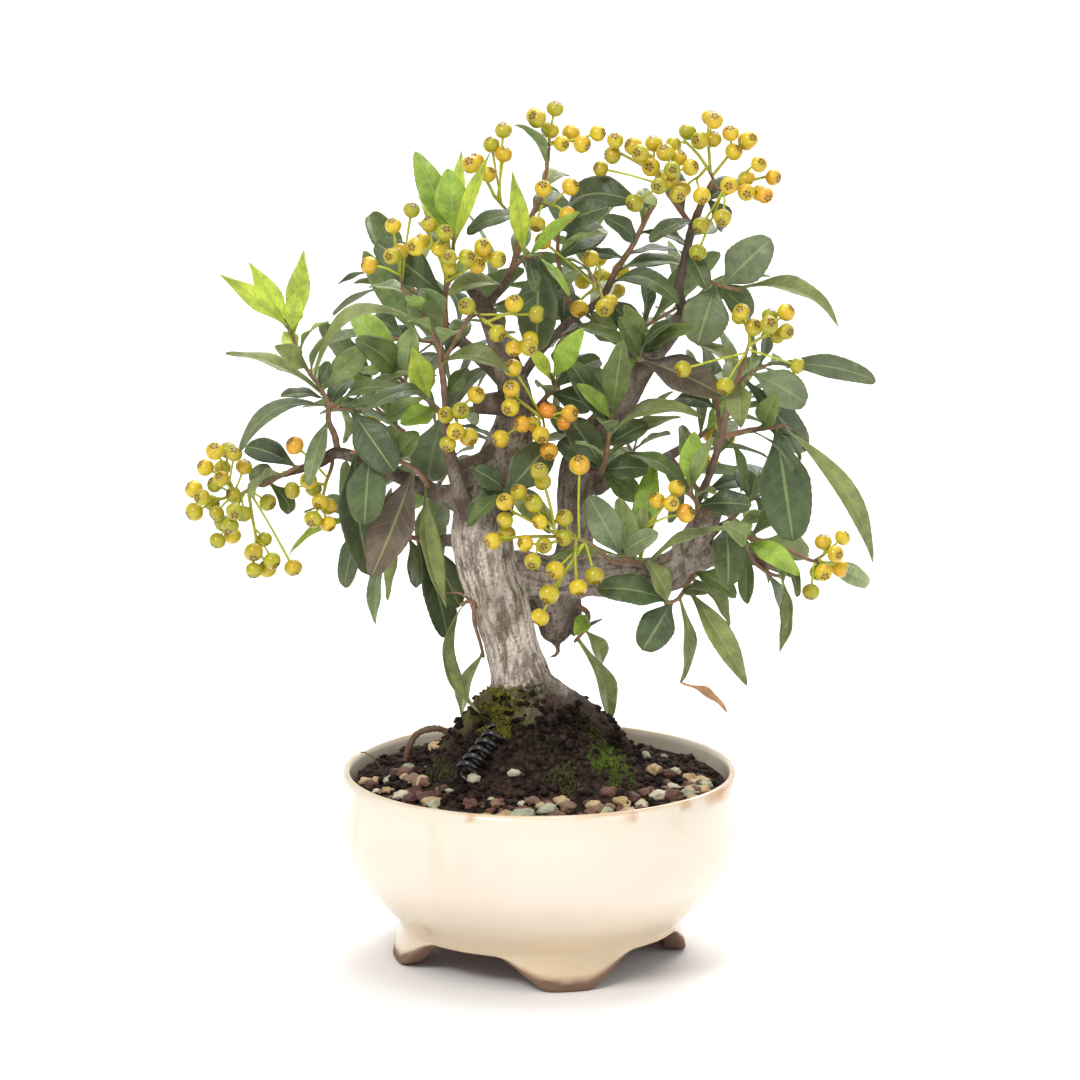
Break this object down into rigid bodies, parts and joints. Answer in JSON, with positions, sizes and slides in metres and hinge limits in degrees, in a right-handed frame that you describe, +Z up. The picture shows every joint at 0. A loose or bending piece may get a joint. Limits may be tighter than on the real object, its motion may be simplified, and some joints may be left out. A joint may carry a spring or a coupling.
{
  "type": "potted bonsai tree",
  "caption": "Small fruiting bonsai with an open branched crown of narrow leaves and berry bunches, in a round glazed bowl with scalloped feet.",
  "frame": {"origin": "centre of the bounding box's footprint, on the plane of the feet's soles", "axes": "+Z up, front of the plant towards -Y, +X to the right as seen from the front"},
  "size_m": [0.2296, 0.1558, 0.2895],
  "materials": {
    "pot_glaze": "gloss",
    "soil": "matte",
    "bark": "matte",
    "rootlet": "matte",
    "wire": "satin",
    "leaf": "satin",
    "young_leaf": "satin",
    "berry": "satin"
  },
  "bodies": {
    "root": {"berries_back_left": "berry", "berries_back_right": "berry", "berries_back_top": "berry", "berries_centre": "berry", "berries_centre_left": "berry", "berries_centre_upper": "berry", "berries_crown_left": "berry", "berries_crown_middle": "berry", "berries_crown_right": "berry", "berries_front_side": "berry", "berries_front_top": "berry", "berries_leader_side": "berry", "berries_left": "berry", "berries_left_inner": "berry", "berries_lower": "berry", "berries_right": "berry", "berries_right_low": "berry", "berries_right_small": "berry", "berries_top": "berry", "berries_top_low": "berry", "berries_upper_inner": "berry", "pot": "pot_glaze", "soil": "soil", "spray_centre": "leaf", "spray_centre_right": "leaf", "spray_front_right": "leaf", "spray_leader": "leaf", "spray_left_end": "leaf", "spray_left_low": "leaf", "spray_left_lower": "leaf", "spray_left_middle": "leaf", "spray_left_tip": "leaf", "spray_low_right": "leaf", "spray_middle_bright": "young_leaf", "spray_rear_left_high_inner": "leaf", "spray_rear_left_high_side": "leaf", "spray_rear_left_high_tip": "leaf", "spray_rear_left_low_hanging": "leaf", "spray_rear_left_low_tip": "leaf", "spray_rear_left_low_upright": "leaf", "spray_rear_right_high_inner": "leaf", "spray_rear_right_high_side": "leaf", "spray_rear_right_high_tip": "leaf", "spray_rear_right_low_hanging": "leaf", "spray_rear_right_low_inner": "leaf", "spray_rear_right_low_tip": "leaf", "spray_right_middle": "leaf", "spray_right_twig": "leaf", "spray_right_under": "leaf", "spray_right_upper": "leaf", "spray_top_left": "leaf", "spray_top_right": "leaf", "spray_trunk_left": "leaf", "spray_trunk_right": "leaf", "spray_upper": "leaf", "surface_rootlet": "rootlet", "training_wire": "wire", "trunk_and_branches": "bark"}
  },
  "joints": []
}
